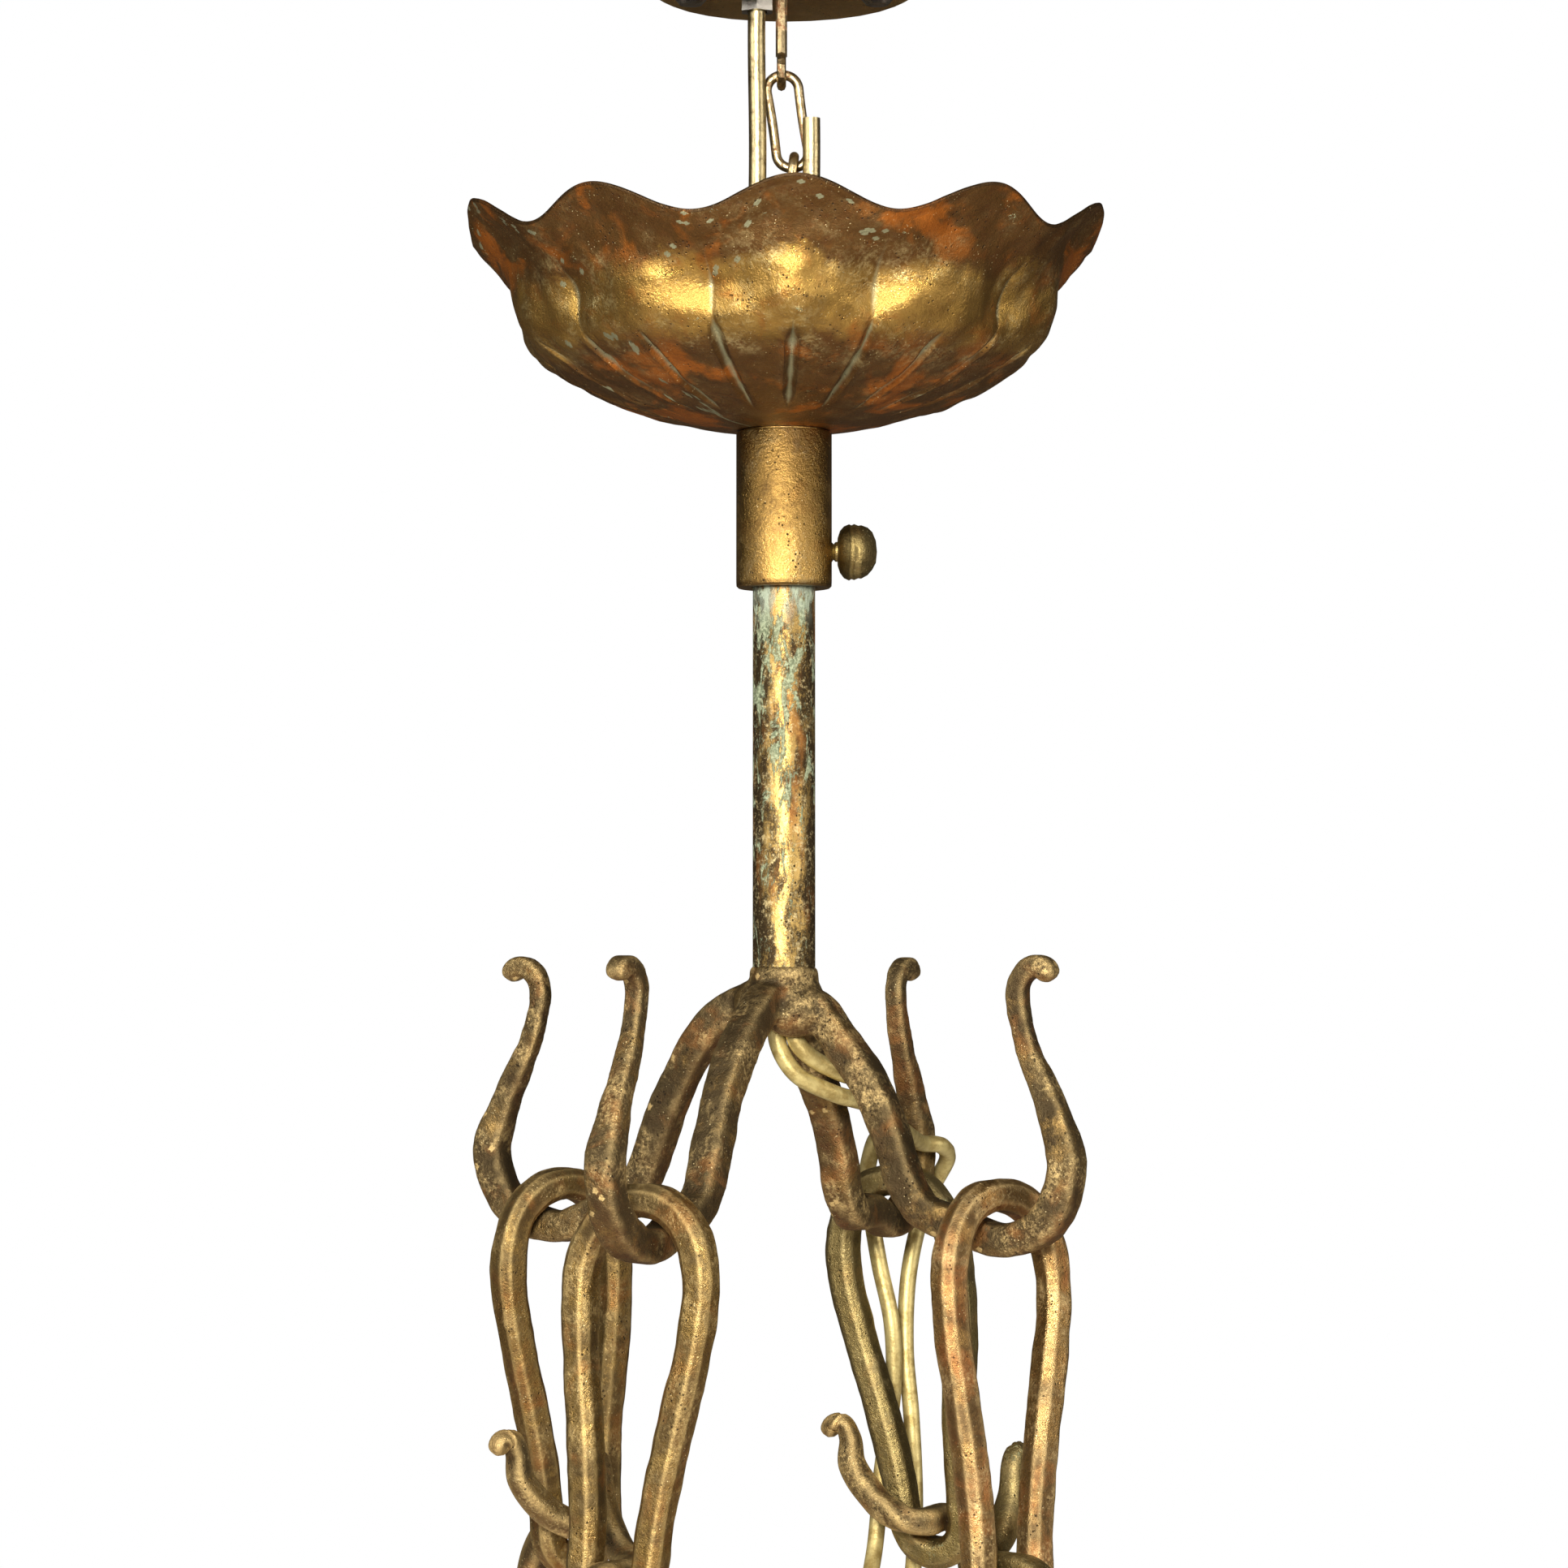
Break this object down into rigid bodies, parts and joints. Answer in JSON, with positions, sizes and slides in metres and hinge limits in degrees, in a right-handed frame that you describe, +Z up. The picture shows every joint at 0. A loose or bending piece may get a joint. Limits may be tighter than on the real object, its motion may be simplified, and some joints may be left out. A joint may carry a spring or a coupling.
{
  "type": "hanging chandelier",
  "caption": "Hanging chandelier in gilded wrought iron: a scalloped canopy bowl over a tube stem, forged hooks and long teardrop links down to a curled lower frame with a lampholder.",
  "frame": {"origin": "middle of the ceiling plate's top face", "axes": "+X right, +Y away from the front, +Z up"},
  "size_m": [0.1236, 0.1268, 0.4186],
  "materials": {
    "gilt_iron": "antique gilding worn over dark iron",
    "forged_iron": "dark bronze patina on hammered bars",
    "brass": "pale worn brass",
    "steel": "plain steel",
    "wire_sheath": "pale gold sheath",
    "ceramic": null,
    "bulb_glass": "frosted"
  },
  "bodies": {
    "ceiling": {"ceiling_plate": "forged_iron", "plate_screw_1": "steel", "plate_screw_2": "steel", "suspension_hook": "gilt_iron", "hook_nut": "steel", "chain_eye": "brass"},
    "chain_1": {"chain_link_1": "brass"},
    "chain_2": {"chain_link_2": "brass"},
    "chain_3": {"chain_link_3": "brass"},
    "stem": {"stem_ring": "forged_iron", "stem": "gilt_iron", "spider_hub": "forged_iron", "hook_arm_left": "forged_iron", "hook_arm_front": "forged_iron", "hook_arm_right": "forged_iron", "hook_arm_back": "forged_iron", "lamp_wire_1": "wire_sheath", "lamp_wire_2": "wire_sheath"},
    "collar": {"canopy_collar": "gilt_iron"},
    "canopy": {"canopy": "gilt_iron", "canopy_ring_nut": "brass"},
    "set_screw": {"set_screw": "gilt_iron"},
    "lower_frame": {"lower_arm_left": "forged_iron", "lower_arm_front": "forged_iron", "lower_arm_right": "forged_iron", "lower_arm_back": "forged_iron", "lower_hub": "forged_iron", "lamp_cup": "gilt_iron", "nipple": "brass", "hub_nut": "brass", "lampholder_shell": "brass", "lampholder_insert": "ceramic"},
    "bulb": {"bulb_cap": "brass", "bulb_glass": "bulb_glass"},
    "link_left": {"hanger_link_left": "gilt_iron"},
    "link_front": {"hanger_link_front": "gilt_iron"},
    "link_right": {"hanger_link_right": "gilt_iron"},
    "link_back": {"hanger_link_back": "gilt_iron"}
  },
  "joints": [
    {"name": "lamp_swing", "type": "hinge", "parent": "ceiling", "child": "stem", "pos_m": [0, 0, -0.065], "axis": [1, 0, 0], "range_deg": [-10, 10]},
    {"name": "chain_swing_1", "type": "hinge", "parent": "ceiling", "child": "chain_1", "pos_m": [-0.0005, 0.0031, -0.01909], "axis": [1, 0, 0], "range_deg": [0, 8]},
    {"name": "chain_swing_2", "type": "hinge", "parent": "chain_1", "child": "chain_2", "pos_m": [0.00186, 0.0031, -0.03502], "axis": [1, 0, 0], "range_deg": [-16, 0]},
    {"name": "chain_swing_3", "type": "hinge", "parent": "chain_2", "child": "chain_3", "pos_m": [-0.00007, 0.0031, -0.051], "axis": [1, 0, 0], "range_deg": [0, 8]},
    {"name": "canopy_slide", "type": "slide", "parent": "stem", "child": "collar", "axis": [0, 0, 1], "range_m": [-0.065, 0.004]},
    {"name": "canopy_turn", "type": "hinge", "parent": "collar", "child": "canopy", "pos_m": [0, 0, -0.088], "axis": [0, 0, 1], "continuous": true},
    {"name": "set_screw_turn", "type": "hinge", "parent": "collar", "child": "set_screw", "pos_m": [0.014, 0, -0.111], "axis": [1, 0, 0], "continuous": true},
    {"name": "link_swing_left", "type": "hinge", "parent": "stem", "child": "link_left", "pos_m": [-0.0445, 0.02366, -0.2417], "axis": [0.4631, 0.8863, 0], "range_deg": [-4, 4], "deforming": ["lamp_wire_1", "lamp_wire_2"]},
    {"name": "link_swing_front", "type": "hinge", "parent": "stem", "child": "link_front", "pos_m": [-0.02472, -0.04114, -0.2417], "axis": [0.4631, 0.8863, 0], "range_deg": [-4, 4]},
    {"name": "link_swing_right", "type": "hinge", "parent": "stem", "child": "link_right", "pos_m": [0.04026, -0.02141, -0.2417], "axis": [0.4631, 0.8863, 0], "range_deg": [-4, 4]},
    {"name": "link_swing_back", "type": "hinge", "parent": "stem", "child": "link_back", "pos_m": [0.02092, 0.04106, -0.2417], "axis": [0.4631, 0.8863, 0], "range_deg": [-4, 4]},
    {"name": "lower_frame_level", "type": "hinge", "parent": "link_left", "child": "lower_frame", "pos_m": [-0.041, 0.03034, -0.30085], "axis": [0.4631, 0.8863, 0], "range_deg": [-4, 4]},
    {"name": "bulb_turn", "type": "hinge", "parent": "lower_frame", "child": "bulb", "pos_m": [0, 0, -0.375], "axis": [0, 0, 1], "continuous": true}
  ],
  "couplings": [
    {"joint": "chain_swing_2", "follows": "chain_swing_1", "ratio": -2},
    {"joint": "chain_swing_3", "follows": "chain_swing_1", "ratio": 1},
    {"joint": "link_swing_front", "follows": "link_swing_left", "ratio": 1},
    {"joint": "link_swing_right", "follows": "link_swing_left", "ratio": 1},
    {"joint": "link_swing_back", "follows": "link_swing_left", "ratio": 1},
    {"joint": "lower_frame_level", "follows": "link_swing_left", "ratio": -1}
  ]
}
